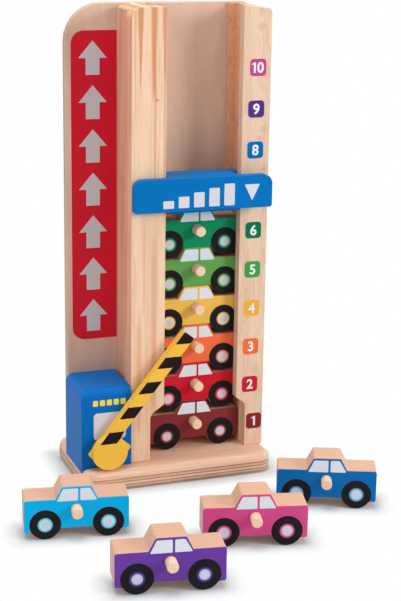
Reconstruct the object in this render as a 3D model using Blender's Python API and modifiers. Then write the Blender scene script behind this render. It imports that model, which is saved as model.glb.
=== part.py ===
import math

import bmesh
import bpy
from mathutils import Matrix, Vector

# Whole garage, in metres: X to the right, Y towards the back, Z up, origin under the middle of the base
TOTAL_HEIGHT = 0.394
SEAT_GAP = 0.0003
ARRIS = 0.0006

# Base board
BASE_WIDTH = 0.166
BASE_DEPTH = 0.0966
BASE_THICKNESS = 0.017
BASE_CORNER_RADIUS = 0.012
BASE_TOP_ROUNDING = 0.0055
BASE_FOOT_ROUNDING = 0.0040
BASE_ARC_STEPS = 4

# Cars: one flat profile with two wheels; a stacked car rests with its sill on the roof below
CAR_LENGTH = 0.0805
CAR_THICKNESS = 0.0258
CAR_DECK_HEIGHT = 0.0322
CAR_CABIN_HEIGHT = 0.00995
CAR_CABIN_FOOT_LEFT = 0.0241
CAR_CABIN_FOOT_RIGHT = 0.0564
CAR_ROOF_LEFT = 0.0293
CAR_ROOF_RIGHT = 0.0514
CAR_SILL_HEIGHT = 0.0087
CAR_END_UNDERSIDE = 0.0060
CAR_WHEEL_RADIUS = 0.0120
CAR_WHEEL_LEFT = 0.0161
CAR_WHEEL_RIGHT = 0.0646
CAR_CORNER_RADIUS = 0.0018
CAR_FACE_ARRIS = 0.0004
CAR_ROOF_HEIGHT = CAR_DECK_HEIGHT + CAR_CABIN_HEIGHT
STOREY_HEIGHT = CAR_ROOF_HEIGHT - CAR_SILL_HEIGHT + SEAT_GAP

# Car pegs
PEG_ALONG_CAR = 0.0400
PEG_HEIGHT = 0.0238
PEG_RADIUS = 0.0043
PEG_REACH = 0.0106
PEG_DEPTH = 0.0120
PEG_FIT = 0.0002
PEG_ROUNDING = 0.0008

# Chute
CHUTE_CENTRE_X = 0.02275
CHUTE_SIDE_PLAY = 0.001
CHUTE_FRONT_PLAY = 0.0009
CHUTE_BACK_PLAY = 0.0006

# Back panel
PANEL_THICKNESS = 0.0068
PANEL_FRONT = 0.0150
PANEL_INSET_LEFT = 0.0017
PANEL_LEFT_RADIUS = 0.031
PANEL_RIGHT_RADIUS = 0.012
PANEL_FOOT_RADIUS = 0.001

# Columns: a lip in front of the cars, a rail beside them and a runner behind them
LEFT_COLUMN_WIDTH = 0.02135
LEFT_RAIL_SET_IN = 0.0023
LEFT_LIP_COVER = 0.0075
LEFT_LIP_THICKNESS = 0.018
LEFT_TOP_RADIUS = 0.010
RIGHT_COLUMN_WIDTH = 0.0174
RIGHT_LIP_COVER = 0.0067
RIGHT_LIP_THICKNESS = 0.0091
RIGHT_TOP_RADIUS = 0.004
RIGHT_TOP_FALL = 0.0025
RUNNER_WIDTH = 0.0064
RUNNER_THICKNESS = 0.0029

# Notches at the columns' feet: a hollow, a slanted shoulder and a nose, with heights above the base
LEFT_NOTCH_CUTBACK = 0.0045
LEFT_NOTCH_LOW = 0.0407
LEFT_NOTCH_HIGH = 0.0489
RIGHT_NOTCH_CUTBACK = 0.0016
RIGHT_NOTCH_LOW = 0.0389
RIGHT_NOTCH_HIGH = 0.0448
NOTCH_HOLLOW_RADIUS = 0.007
NOTCH_NOSE_RADIUS = 0.0015

# Ticket booth
BOOTH_HEIGHT = 0.068
BOOTH_FRONT_ROUNDING = 0.007
BOOTH_SIDE_ROUNDING = 0.007
BOOTH_FRONT = -0.0354

# Barrier: a keyhole plate glued on a bar with a squarish hub
GATE_ANGLE = math.radians(51.4)
GATE_PIVOT_IN_FROM_LEFT = 0.0216
GATE_PIVOT_HEIGHT = 0.0160
GATE_CLEARANCE = 0.0004
GATE_BACKING_THICKNESS = 0.0053
GATE_FACE_THICKNESS = 0.0050
GATE_ARM_LOW = 0.0013
GATE_ARM_HIGH = 0.0114
GATE_ARM_REACH = 0.117
GATE_ARM_CORNER = 0.0015
GATE_DISC_RADIUS = 0.015
GATE_LOWER_FILLET = 0.004
GATE_UPPER_FILLET = 0.003
GATE_HUB_BACK = 0.0127
GATE_HUB_FRONT = 0.0138
GATE_HUB_LOW = 0.0142
GATE_PIN_RADIUS = 0.003
GATE_PIN_FIT = 0.0003
GATE_PIN_IN_FACE = 0.0025
GATE_PIN_IN_BOOTH = 0.014

# Level slider: plate in front of the columns, neck between the lips, shoe behind them
SLIDER_PLATE_OVERHANG_LEFT = 0.00015
SLIDER_PLATE_INSET_RIGHT = 0.0027
SLIDER_PLATE_HEIGHT = 0.0272
SLIDER_PLATE_THICKNESS = 0.0077
SLIDER_PLATE_LIFT = 0.0029
SLIDER_PLATE_TOP_RADIUS = 0.008
SLIDER_PLATE_FOOT_RADIUS = 0.002
SLIDER_NECK_PLAY = 0.0035
SLIDER_BLOCK_HEIGHT = 0.0289
SLIDER_SHOE_PLAY = 0.003
SLIDER_SHOE_THICKNESS = 0.0121
SLIDER_EDGE_RADIUS = 0.001

# Screws
SCREW_SHANK_RADIUS = 0.00175
SCREW_HEAD_RADIUS = 0.0035
SCREW_HEAD_HEIGHT = 0.0024
SCREW_TIP_LENGTH = 0.002
SCREW_TIP_RADIUS = 0.0005
SCREW_FIT = 0.0003
SCREW_RECESS = 0.0003
BASE_SCREW_LENGTH = 0.034
PANEL_SCREW_LENGTH = 0.020
PANEL_SCREW_SHARES = (0.114, 0.508, 0.901)

# Cars in the chute from the lowest up: colour, and rest place to the right of the chute's middle
CHUTE_CARS = (
    ("maroon", -0.0005),
    ("red", 0.0004),
    ("orange", 0.0004),
    ("amber", 0.0004),
    ("lightgreen", 0.0006),
    ("green", 0.0004),
)

# Loose cars: lower left front corner on the floor, and turn about the vertical
LOOSE_CARS = {
    "cyan": (-0.1513, -0.1195, -9.9),
    "purple": (-0.1123, -0.2297, -9.3),
    "magenta": (-0.0264, -0.1743, -13.8),
    "blue": (0.0571, -0.1184, -22.4),
}

# Fineness of round shapes, and how far a cutter runs past what it cuts
ARC_STEP = math.radians(13)
SMALL_ARC_STEP = math.radians(30)
SMALL_ARC_RADIUS = 0.0035
ROUND_SIDES = 24
SCREW_SIDES = 16
ARRIS_ANGLE = math.radians(50)
WELD_DISTANCE = 1e-6
OVERREACH = 0.017

# Places that follow from the sizes above
BASE_TOP = BASE_THICKNESS
STAND_LEVEL = BASE_TOP + SEAT_GAP
BASE_LEFT = -BASE_WIDTH / 2
CHUTE_WIDTH = CAR_LENGTH + 2 * CHUTE_SIDE_PLAY
CHUTE_LEFT = CHUTE_CENTRE_X - CHUTE_WIDTH / 2
CHUTE_RIGHT = CHUTE_CENTRE_X + CHUTE_WIDTH / 2
RAIL_BACK = PANEL_FRONT - SEAT_GAP
CHUTE_BACK = PANEL_FRONT - RUNNER_THICKNESS
LIP_BACK = CHUTE_BACK - CHUTE_BACK_PLAY - CAR_THICKNESS - CHUTE_FRONT_PLAY
LEFT_COLUMN_OUTER = CHUTE_LEFT - LEFT_COLUMN_WIDTH
LEFT_RAIL_OUTER = LEFT_COLUMN_OUTER + LEFT_RAIL_SET_IN
LEFT_LIP_EDGE = CHUTE_LEFT + LEFT_LIP_COVER
LEFT_COLUMN_FRONT = LIP_BACK - LEFT_LIP_THICKNESS
RIGHT_COLUMN_OUTER = CHUTE_RIGHT + RIGHT_COLUMN_WIDTH
RIGHT_LIP_EDGE = CHUTE_RIGHT - RIGHT_LIP_COVER
RIGHT_COLUMN_FRONT = LIP_BACK - RIGHT_LIP_THICKNESS
CAR_FACE = LIP_BACK + CHUTE_FRONT_PLAY
CAR_LEFT = CHUTE_CENTRE_X - CAR_LENGTH / 2
GATE_PIVOT_X = BASE_LEFT + GATE_PIVOT_IN_FROM_LEFT
GATE_PIVOT_Z = BASE_TOP + GATE_PIVOT_HEIGHT
GATE_BACK = BOOTH_FRONT - GATE_CLEARANCE
SLIDER_FOOT = STAND_LEVEL + (len(CHUTE_CARS) - 1) * STOREY_HEIGHT + CAR_ROOF_HEIGHT + SEAT_GAP

COLOURS = {
    "maroon": (0.20, 0.03, 0.03),
    "red": (0.58, 0.01, 0.03),
    "orange": (0.87, 0.13, 0.03),
    "amber": (0.83, 0.43, 0.04),
    "lightgreen": (0.07, 0.35, 0.05),
    "green": (0.00, 0.22, 0.08),
    "cyan": (0.00, 0.43, 0.83),
    "blue": (0.00, 0.14, 0.46),
    "purple": (0.11, 0.03, 0.29),
    "magenta": (0.61, 0.05, 0.22),
    "beech": (0.72, 0.49, 0.31),
    "plywood": (0.60, 0.40, 0.24),
    "signblue": (0.00, 0.16, 0.50),
    "yellow": (0.87, 0.49, 0.06),
    "steel": (0.55, 0.55, 0.57),
}


def arc(centre, radius, start, end):
    widest = SMALL_ARC_STEP if radius < SMALL_ARC_RADIUS else ARC_STEP
    steps = max(2, math.ceil(abs(end - start) / widest - WELD_DISTANCE))
    points = []
    for step in range(steps + 1):
        angle = start + (end - start) * step / steps
        points.append((centre[0] + radius * math.cos(angle), centre[1] + radius * math.sin(angle)))
    return points


def rounded(corners):
    """Outline of corners (x, y, radius) with each corner turned into an arc of its radius."""
    points = []
    count = len(corners)
    for index, (x, y, radius) in enumerate(corners):
        corner = Vector((x, y))
        if radius == 0:
            points.append((x, y))
            continue
        before = (Vector(corners[index - 1][:2]) - corner).normalized()
        after = (Vector(corners[(index + 1) % count][:2]) - corner).normalized()
        half = before.angle(after) / 2
        centre = corner + (before + after).normalized() * (radius / math.sin(half))
        first = corner + before * (radius / math.tan(half)) - centre
        last = corner + after * (radius / math.tan(half)) - centre
        turn = first.angle_signed(last)
        start = math.atan2(first.y, first.x)
        points += arc(centre, radius, start, start - turn)
    return points


def material(name, colour, roughness=0.5, metallic=0.0):
    made = bpy.data.materials.new(name)
    made.use_nodes = True
    shader = made.node_tree.nodes["Principled BSDF"]
    shader.inputs["Base Color"].default_value = (*COLOURS[colour], 1.0)
    shader.inputs["Roughness"].default_value = roughness
    shader.inputs["Metallic"].default_value = metallic
    made.diffuse_color = (*COLOURS[colour], 1.0)
    return made


def put(name, mesh, collection, paint=None):
    made = bpy.data.objects.new(name, mesh)
    collection.objects.link(made)
    if paint:
        mesh.materials.clear()
        mesh.materials.append(paint)
    return made


def flat_mesh(name, outline, thickness):
    """Closed outline as a flat board, its plane XY, from Z 0 to its thickness."""
    curve = bpy.data.curves.new(name + "_outline", "CURVE")
    curve.dimensions = "2D"
    curve.fill_mode = "BOTH"
    curve.extrude = thickness / 2
    spline = curve.splines.new("POLY")
    spline.points.add(len(outline) - 1)
    for point, (x, y) in zip(spline.points, outline):
        point.co = (x, y, 0.0, 1.0)
    spline.use_cyclic_u = True
    holder = bpy.data.objects.new(name + "_outline", curve)
    bpy.context.scene.collection.objects.link(holder)
    bpy.context.view_layer.update()
    seen = holder.evaluated_get(bpy.context.evaluated_depsgraph_get())
    mesh = bpy.data.meshes.new_from_object(seen)
    mesh.name = name
    bpy.data.objects.remove(holder)
    bpy.data.curves.remove(curve)
    work = bmesh.new()
    work.from_mesh(mesh)
    bmesh.ops.remove_doubles(work, verts=work.verts, dist=WELD_DISTANCE)
    bmesh.ops.dissolve_limit(work, angle_limit=0.01, verts=work.verts, edges=work.edges)
    bmesh.ops.translate(work, verts=work.verts, vec=(0.0, 0.0, thickness / 2))
    bmesh.ops.recalc_face_normals(work, faces=work.faces)
    work.to_mesh(mesh)
    work.free()
    return mesh


def front_board(name, outline, front, back, collection, paint=None):
    """Board whose outline is drawn in X and Z and which runs from its front to its back along Y."""
    mesh = flat_mesh(name, outline, back - front)
    mesh.transform(Matrix.Translation((0.0, back, 0.0)) @ Matrix.Rotation(math.pi / 2, 4, "X"))
    return put(name, mesh, collection, paint)


def side_board(name, outline, left, right, collection, paint=None):
    """Board whose outline is drawn in Y and Z and which runs from left to right along X."""
    mesh = flat_mesh(name, outline, right - left)
    turn = Matrix(((0, 0, 1, left), (1, 0, 0, 0), (0, 1, 0, 0), (0, 0, 0, 1)))
    mesh.transform(turn)
    return put(name, mesh, collection, paint)


def round_mesh(name, low_radius, high_radius, length):
    """Cylinder or cone on Z from 0 to its length."""
    mesh = bpy.data.meshes.new(name)
    work = bmesh.new()
    bmesh.ops.create_cone(
        work,
        cap_ends=True,
        segments=ROUND_SIDES,
        radius1=low_radius,
        radius2=high_radius,
        depth=length,
        matrix=Matrix.Translation((0.0, 0.0, length / 2)),
    )
    work.to_mesh(mesh)
    work.free()
    return mesh


def turned(name, profile, sides, collection, paint=None):
    """Body turned about Z from a profile of (radius, height) that runs from its top to its foot."""
    mesh = bpy.data.meshes.new(name)
    heights = [profile[0][1], profile[-1][1]]
    points = [(0.0, 0.0, heights[0])] + [(radius, 0.0, height) for radius, height in profile]
    points.append((0.0, 0.0, heights[1]))
    mesh.from_pydata(points, [(index, index + 1) for index in range(len(points) - 1)], [])
    made = put(name, mesh, collection, paint)
    step = made.modifiers.new("turning", "SCREW")
    step.axis = "Z"
    step.steps = sides
    step.render_steps = sides
    step.use_merge_vertices = True
    step.merge_threshold = 1e-5
    step.use_smooth_shade = True
    return made


def along(origin, direction):
    """Placement that turns Z into the direction."""
    turn = Vector(direction).to_track_quat("Z", "Y").to_matrix().to_4x4()
    return Matrix.Translation(origin) @ turn


def cut(target, cutter, operation="DIFFERENCE"):
    cutter.hide_render = True
    cutter.display_type = "WIRE"
    step = target.modifiers.new(operation.lower(), "BOOLEAN")
    step.operation = operation
    step.solver = "EXACT"
    step.object = cutter


def soften(target, width, segments=2):
    """Rounds every arris that turns by more than the arcs' own steps."""
    step = target.modifiers.new("arris", "BEVEL")
    step.width = width
    step.segments = segments
    step.limit_method = "ANGLE"
    step.angle_limit = ARRIS_ANGLE
    step.use_clamp_overlap = True


def bored(target, name, radius, start, direction, depth, cutters):
    """Blind or through hole from the start point along the direction."""
    unit = Vector(direction).normalized()
    hole = put(name, round_mesh(name, radius, radius, depth), cutters)
    hole.matrix_world = along(Vector(start), unit)
    cut(target, hole)


# Base board

def make_base(collection):
    half_width = BASE_WIDTH / 2
    half_depth = BASE_DEPTH / 2
    outline = rounded(
        [
            (-half_width, -half_depth, BASE_CORNER_RADIUS),
            (half_width, -half_depth, BASE_CORNER_RADIUS),
            (half_width, half_depth, BASE_CORNER_RADIUS),
            (-half_width, half_depth, BASE_CORNER_RADIUS),
        ]
    )
    mesh = flat_mesh("base_board", outline, BASE_THICKNESS)
    base = put("base_board", mesh, collection, material("base_wood", "beech", 0.45))
    weights = mesh.attributes.new("bevel_weight_edge", "FLOAT", "EDGE")
    for edge, weight in zip(mesh.edges, weights.data):
        heights = [mesh.vertices[index].co.z for index in edge.vertices]
        if min(heights) > BASE_THICKNESS / 2:
            weight.value = 1.0
        elif max(heights) < BASE_THICKNESS / 2:
            weight.value = BASE_FOOT_ROUNDING / BASE_TOP_ROUNDING
    rounding = base.modifiers.new("rounding", "BEVEL")
    rounding.width = BASE_TOP_ROUNDING
    rounding.segments = BASE_ARC_STEPS
    rounding.limit_method = "WEIGHT"
    return base


# Back panel

def make_panel(collection):
    left = BASE_LEFT + PANEL_INSET_LEFT
    right = RIGHT_COLUMN_OUTER
    outline = rounded(
        [
            (left, STAND_LEVEL, PANEL_FOOT_RADIUS),
            (right, STAND_LEVEL, PANEL_FOOT_RADIUS),
            (right, TOTAL_HEIGHT, PANEL_RIGHT_RADIUS),
            (left, TOTAL_HEIGHT, PANEL_LEFT_RADIUS),
        ]
    )
    back = PANEL_FRONT + PANEL_THICKNESS
    panel = front_board(
        "back_panel", outline, PANEL_FRONT, back, collection, material("panel_wood", "plywood", 0.5)
    )
    soften(panel, ARRIS, 1)
    return panel


# Columns

def notch_edge(low_x, high_x, low, high):
    """Edge from the floor up a vertical at low_x, over a slanted shoulder to the foot of a vertical at high_x."""
    corners = [
        (low_x, 0.0, 0),
        (low_x, BASE_TOP + low, NOTCH_HOLLOW_RADIUS),
        (high_x, BASE_TOP + high, NOTCH_NOSE_RADIUS),
        (high_x, TOTAL_HEIGHT, 0),
    ]
    return rounded(corners)[:-1]


def make_column(name, section, outline, notch, collection, cutters):
    """Section run up the height, cut to its outline and notched at the foot."""
    mesh = flat_mesh(name, section, TOTAL_HEIGHT)
    column = put(name, mesh, collection, material(name + "_wood", "beech", 0.45))
    front = min(y for x, y in section) - OVERREACH
    keep = front_board(name + "_outline", outline, front, PANEL_FRONT + OVERREACH, cutters)
    cut(column, keep, "INTERSECT")
    mouth = front_board(name + "_notch", notch, front, LIP_BACK, cutters)
    cut(column, mouth)
    soften(column, ARRIS)
    return column


def make_left_column(collection, cutters):
    front = LEFT_COLUMN_FRONT
    section = [
        (LEFT_COLUMN_OUTER - OVERREACH, front),
        (LEFT_LIP_EDGE, front),
        (LEFT_LIP_EDGE, LIP_BACK),
        (CHUTE_LEFT, LIP_BACK),
        (CHUTE_LEFT, CHUTE_BACK),
        (CHUTE_LEFT + RUNNER_WIDTH, CHUTE_BACK),
        (CHUTE_LEFT + RUNNER_WIDTH, RAIL_BACK),
        (LEFT_RAIL_OUTER, RAIL_BACK),
        (LEFT_RAIL_OUTER, LIP_BACK),
        (LEFT_COLUMN_OUTER - OVERREACH, LIP_BACK),
    ]
    outline = rounded(
        [
            (LEFT_COLUMN_OUTER, STAND_LEVEL, 0),
            (CHUTE_RIGHT, STAND_LEVEL, 0),
            (CHUTE_RIGHT, TOTAL_HEIGHT - SEAT_GAP, 0),
            (LEFT_COLUMN_OUTER, TOTAL_HEIGHT - SEAT_GAP, LEFT_TOP_RADIUS),
        ]
    )
    edge = notch_edge(
        CHUTE_LEFT - LEFT_NOTCH_CUTBACK, LEFT_LIP_EDGE, LEFT_NOTCH_LOW, LEFT_NOTCH_HIGH
    )
    notch = edge + [(CHUTE_RIGHT, edge[-1][1]), (CHUTE_RIGHT, 0.0)]
    return make_column("left_column", section, outline, notch, collection, cutters)


def make_right_column(collection, cutters):
    front = RIGHT_COLUMN_FRONT
    section = [
        (RIGHT_LIP_EDGE, front),
        (RIGHT_COLUMN_OUTER + OVERREACH, front),
        (RIGHT_COLUMN_OUTER + OVERREACH, RAIL_BACK),
        (CHUTE_RIGHT - RUNNER_WIDTH, RAIL_BACK),
        (CHUTE_RIGHT - RUNNER_WIDTH, CHUTE_BACK),
        (CHUTE_RIGHT, CHUTE_BACK),
        (CHUTE_RIGHT, LIP_BACK),
        (RIGHT_LIP_EDGE, LIP_BACK),
    ]
    run = (RIGHT_COLUMN_OUTER - CHUTE_LEFT) / (RIGHT_COLUMN_OUTER - RIGHT_LIP_EDGE)
    outline = rounded(
        [
            (CHUTE_LEFT, STAND_LEVEL, 0),
            (RIGHT_COLUMN_OUTER, STAND_LEVEL, 0),
            (RIGHT_COLUMN_OUTER, TOTAL_HEIGHT - SEAT_GAP - RIGHT_TOP_FALL, RIGHT_TOP_RADIUS),
            (CHUTE_LEFT, TOTAL_HEIGHT - SEAT_GAP - RIGHT_TOP_FALL + RIGHT_TOP_FALL * run, 0),
        ]
    )
    edge = notch_edge(
        CHUTE_RIGHT + RIGHT_NOTCH_CUTBACK, RIGHT_LIP_EDGE, RIGHT_NOTCH_LOW, RIGHT_NOTCH_HIGH
    )
    notch = edge + [(CHUTE_LEFT, edge[-1][1]), (CHUTE_LEFT, 0.0)]
    return make_column("right_column", section, outline, notch, collection, cutters)


# Ticket booth, its left foot coped over the base board's rounded arris

def make_booth(collection, cutters):
    left = BASE_LEFT
    right = LEFT_COLUMN_OUTER - SEAT_GAP
    top = BASE_TOP + BOOTH_HEIGHT
    cope_centre = (BASE_LEFT + BASE_TOP_ROUNDING, BASE_TOP - BASE_TOP_ROUNDING)
    cope_radius = BASE_TOP_ROUNDING + SEAT_GAP
    start = math.acos(BASE_TOP_ROUNDING / cope_radius)
    cope = arc(cope_centre, cope_radius, math.pi - start, math.pi / 2)
    shell = [
        (right, STAND_LEVEL),
        (right, top),
    ]
    shell += arc(
        (left + BOOTH_SIDE_ROUNDING, top - BOOTH_SIDE_ROUNDING), BOOTH_SIDE_ROUNDING, math.pi / 2, math.pi
    )
    booth = front_board(
        "ticket_booth", shell + cope, BOOTH_FRONT, RAIL_BACK, collection, material("booth_paint", "signblue", 0.4)
    )
    depth_outline = rounded(
        [
            (BOOTH_FRONT, 0.0, 0),
            (RAIL_BACK + OVERREACH, 0.0, 0),
            (RAIL_BACK + OVERREACH, top, 0),
            (BOOTH_FRONT, top, BOOTH_FRONT_ROUNDING),
        ]
    )
    keep = side_board(
        "booth_front_rounding", depth_outline, left - OVERREACH, right + OVERREACH, cutters
    )
    cut(booth, keep, "INTERSECT")
    bored(
        booth,
        "booth_bore",
        GATE_PIN_RADIUS + GATE_PIN_FIT,
        (GATE_PIVOT_X, BOOTH_FRONT - OVERREACH, GATE_PIVOT_Z),
        (0, 1, 0),
        OVERREACH + GATE_PIN_IN_BOOTH + SEAT_GAP,
        cutters,
    )
    return booth


# Barrier, drawn along its own arm and turned up on its pivot

def arm_tip():
    """Arm's end from its lower to its upper edge."""
    tip = rounded(
        [
            (0.0, GATE_ARM_LOW, 0),
            (GATE_ARM_REACH, GATE_ARM_LOW, GATE_ARM_CORNER),
            (GATE_ARM_REACH, GATE_ARM_HIGH, GATE_ARM_CORNER),
            (0.0, GATE_ARM_HIGH, 0),
        ]
    )
    return tip[1:-1]


def keyhole_outline():
    around = GATE_DISC_RADIUS + GATE_LOWER_FILLET
    low_centre = Vector((0.0, GATE_ARM_LOW - GATE_LOWER_FILLET))
    low_centre.x = math.sqrt(around**2 - low_centre.y**2)
    above = GATE_DISC_RADIUS + GATE_UPPER_FILLET
    high_centre = Vector((0.0, GATE_ARM_HIGH + GATE_UPPER_FILLET))
    high_centre.x = math.sqrt(above**2 - high_centre.y**2)
    low_angle = math.atan2(low_centre.y, low_centre.x)
    high_angle = math.atan2(high_centre.y, high_centre.x)
    upper = arc(high_centre, GATE_UPPER_FILLET, -math.pi / 2, high_angle - math.pi)
    disc = arc((0.0, 0.0), GATE_DISC_RADIUS, high_angle, 2 * math.pi + low_angle)
    lower = arc(low_centre, GATE_LOWER_FILLET, math.pi + low_angle, math.pi / 2)
    return arm_tip() + upper + disc[1:-1] + lower


def hub_outline():
    """Bar with a squarish hub; the hub's lowest corner follows a circle so that it clears the base board."""
    low_end = -math.sqrt(GATE_DISC_RADIUS**2 - GATE_HUB_LOW**2)
    back_end = -math.sqrt(GATE_DISC_RADIUS**2 - GATE_HUB_BACK**2)
    corner = arc(
        (0.0, 0.0),
        GATE_DISC_RADIUS,
        math.pi + math.atan2(-back_end, GATE_HUB_BACK),
        1.5 * math.pi - math.atan2(-low_end, GATE_HUB_LOW),
    )
    upper_corner = rounded(
        [
            (GATE_HUB_FRONT, GATE_ARM_HIGH, 0),
            (-GATE_HUB_BACK, GATE_ARM_HIGH, GATE_ARM_CORNER),
            (-GATE_HUB_BACK, -GATE_HUB_LOW, 0),
        ]
    )
    lower_corner = rounded(
        [
            (-GATE_HUB_BACK, -GATE_HUB_LOW, 0),
            (GATE_HUB_FRONT, -GATE_HUB_LOW, GATE_ARM_CORNER),
            (GATE_HUB_FRONT, GATE_ARM_LOW, 0),
        ]
    )
    return arm_tip() + upper_corner[1:-1] + corner + lower_corner[1:-1] + [(GATE_HUB_FRONT, GATE_ARM_LOW)]


def make_gate(collection, cutters):
    pivot = Vector((GATE_PIVOT_X, GATE_BACK, GATE_PIVOT_Z))
    backing_front = -GATE_BACKING_THICKNESS
    face_back = backing_front - SEAT_GAP
    face_front = face_back - GATE_FACE_THICKNESS
    pin_front = face_back - GATE_PIN_IN_FACE
    pin_back = GATE_CLEARANCE + GATE_PIN_IN_BOOTH
    yellow = material("gate_face_paint", "yellow", 0.4)
    face = front_board("gate_face", keyhole_outline(), face_front, face_back, collection, yellow)
    backing = front_board(
        "gate_backing",
        hub_outline(),
        backing_front,
        0.0,
        collection,
        material("gate_backing_paint", "yellow", 0.4),
    )
    pin = put(
        "gate_pivot_pin",
        round_mesh("gate_pivot_pin", GATE_PIN_RADIUS, GATE_PIN_RADIUS, pin_back - pin_front),
        collection,
        material("pivot_wood", "beech", 0.5),
    )
    pin.data.transform(along((0.0, pin_front, 0.0), (0, 1, 0)))
    hole_radius = GATE_PIN_RADIUS + GATE_PIN_FIT
    for target, start in ((face, pin_front - SEAT_GAP), (backing, backing_front - SEAT_GAP)):
        hole = put(
            target.name + "_bore",
            round_mesh(target.name + "_bore", hole_radius, hole_radius, OVERREACH),
            cutters,
        )
        hole.data.transform(along((0.0, start, 0.0), (0, 1, 0)))
        soften(target, ARRIS, 1)
        cut(target, hole)
        hole.parent = target
    for piece in (face, backing, pin):
        piece.location = pivot
        piece.rotation_euler = (0.0, -GATE_ANGLE, 0.0)
    return face, backing, pin


# Cars

def car_outline():
    centre_height = CAR_WHEEL_RADIUS
    end_drop = centre_height - CAR_END_UNDERSIDE
    sill_drop = centre_height - CAR_SILL_HEIGHT
    end_angle = math.asin(end_drop / CAR_WHEEL_RADIUS)
    sill_angle = math.asin(sill_drop / CAR_WHEEL_RADIUS)
    left_wheel = arc(
        (CAR_WHEEL_LEFT, centre_height), CAR_WHEEL_RADIUS, math.pi + end_angle, 2 * math.pi - sill_angle
    )
    right_wheel = arc(
        (CAR_WHEEL_RIGHT, centre_height), CAR_WHEEL_RADIUS, math.pi + sill_angle, 2 * math.pi - end_angle
    )
    radius = CAR_CORNER_RADIUS
    body = rounded(
        [
            (CAR_WHEEL_RIGHT, CAR_END_UNDERSIDE, 0),
            (CAR_LENGTH, CAR_END_UNDERSIDE, radius),
            (CAR_LENGTH, CAR_DECK_HEIGHT, radius),
            (CAR_CABIN_FOOT_RIGHT, CAR_DECK_HEIGHT, radius / 2),
            (CAR_ROOF_RIGHT, CAR_ROOF_HEIGHT, radius),
            (CAR_ROOF_LEFT, CAR_ROOF_HEIGHT, radius),
            (CAR_CABIN_FOOT_LEFT, CAR_DECK_HEIGHT, radius / 2),
            (0.0, CAR_DECK_HEIGHT, radius),
            (0.0, CAR_END_UNDERSIDE, radius),
            (CAR_WHEEL_LEFT, CAR_END_UNDERSIDE, 0),
        ]
    )
    return left_wheel + right_wheel + body[1:-1]


def make_car(name, colour, place, turn, collection, cutters):
    """Car body and its peg; the front face lies in the car's own plane Y 0 and the wheels stand on Z 0."""
    body = front_board(
        name + "_body", car_outline(), 0.0, CAR_THICKNESS, collection, material(name + "_paint", colour, 0.4)
    )
    bore_radius = PEG_RADIUS + PEG_FIT
    bore = put(name + "_bore", round_mesh(name + "_bore", bore_radius, bore_radius, 2 * PEG_DEPTH), cutters)
    bore.data.transform(along((PEG_ALONG_CAR, -PEG_DEPTH, PEG_HEIGHT), (0, 1, 0)))
    soften(body, CAR_FACE_ARRIS, 1)
    cut(body, bore)
    bore.parent = body
    inner = PEG_DEPTH - SEAT_GAP
    profile = arc((PEG_RADIUS - PEG_ROUNDING, PEG_REACH - PEG_ROUNDING), PEG_ROUNDING, math.pi / 2, 0.0)
    profile.append((PEG_RADIUS, -inner))
    peg = turned(name + "_peg", profile, ROUND_SIDES, collection, material(name + "_peg_wood", "beech", 0.5))
    body.location = place
    body.rotation_euler = (0.0, 0.0, turn)
    standing = Matrix.Translation(place) @ Matrix.Rotation(turn, 4, "Z")
    peg.matrix_world = standing @ along((PEG_ALONG_CAR, 0.0, PEG_HEIGHT), (0, -1, 0))
    return body, peg


def make_cars(collection, cutters):
    for index, (colour, shift) in enumerate(CHUTE_CARS):
        place = Vector((CAR_LEFT + shift, CAR_FACE, STAND_LEVEL + index * STOREY_HEIGHT))
        make_car(f"car_{index + 1:02d}", colour, place, 0.0, collection, cutters)
    for colour, (x, y, degrees) in LOOSE_CARS.items():
        make_car(f"loose_car_{colour}", colour, Vector((x, y, 0.0)), math.radians(degrees), collection, cutters)


# Level slider

def make_slider(collection):
    plate_left = LEFT_COLUMN_OUTER + SLIDER_PLATE_OVERHANG_LEFT
    plate_right = RIGHT_COLUMN_OUTER - SLIDER_PLATE_INSET_RIGHT
    foot = SLIDER_FOOT + SLIDER_PLATE_LIFT
    head = foot + SLIDER_PLATE_HEIGHT
    plate_back = LEFT_COLUMN_FRONT - SEAT_GAP
    outline = rounded(
        [
            (plate_left, foot, SLIDER_PLATE_FOOT_RADIUS),
            (plate_right, foot, SLIDER_PLATE_FOOT_RADIUS),
            (plate_right, head, SLIDER_PLATE_TOP_RADIUS),
            (plate_left, head, SLIDER_PLATE_TOP_RADIUS),
        ]
    )
    plate = front_board(
        "level_plate",
        outline,
        plate_back - SLIDER_PLATE_THICKNESS,
        plate_back,
        collection,
        material("level_plate_paint", "signblue", 0.4),
    )
    soften(plate, ARRIS)
    shoe_front = CAR_FACE
    blocks = (
        ("level_neck", LEFT_LIP_EDGE + SLIDER_NECK_PLAY, RIGHT_LIP_EDGE - SLIDER_NECK_PLAY,
         plate_back + SEAT_GAP, shoe_front - SEAT_GAP),
        ("level_shoe", CHUTE_LEFT + SLIDER_SHOE_PLAY, CHUTE_RIGHT - SLIDER_SHOE_PLAY - SLIDER_EDGE_RADIUS,
         shoe_front, shoe_front + SLIDER_SHOE_THICKNESS),
    )
    for name, left, right, front, back in blocks:
        block = rounded(
            [
                (left, SLIDER_FOOT, SLIDER_EDGE_RADIUS),
                (right, SLIDER_FOOT, SLIDER_EDGE_RADIUS),
                (right, SLIDER_FOOT + SLIDER_BLOCK_HEIGHT, SLIDER_EDGE_RADIUS),
                (left, SLIDER_FOOT + SLIDER_BLOCK_HEIGHT, SLIDER_EDGE_RADIUS),
            ]
        )
        front_board(name, block, front, back, collection, material(name + "_paint", "signblue", 0.4))


# Screws and their countersunk holes

def screw_profile(length):
    return [
        (SCREW_HEAD_RADIUS, 0.0),
        (SCREW_SHANK_RADIUS, -SCREW_HEAD_HEIGHT),
        (SCREW_SHANK_RADIUS, -length + SCREW_TIP_LENGTH),
        (SCREW_TIP_RADIUS, -length),
    ]


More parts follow.
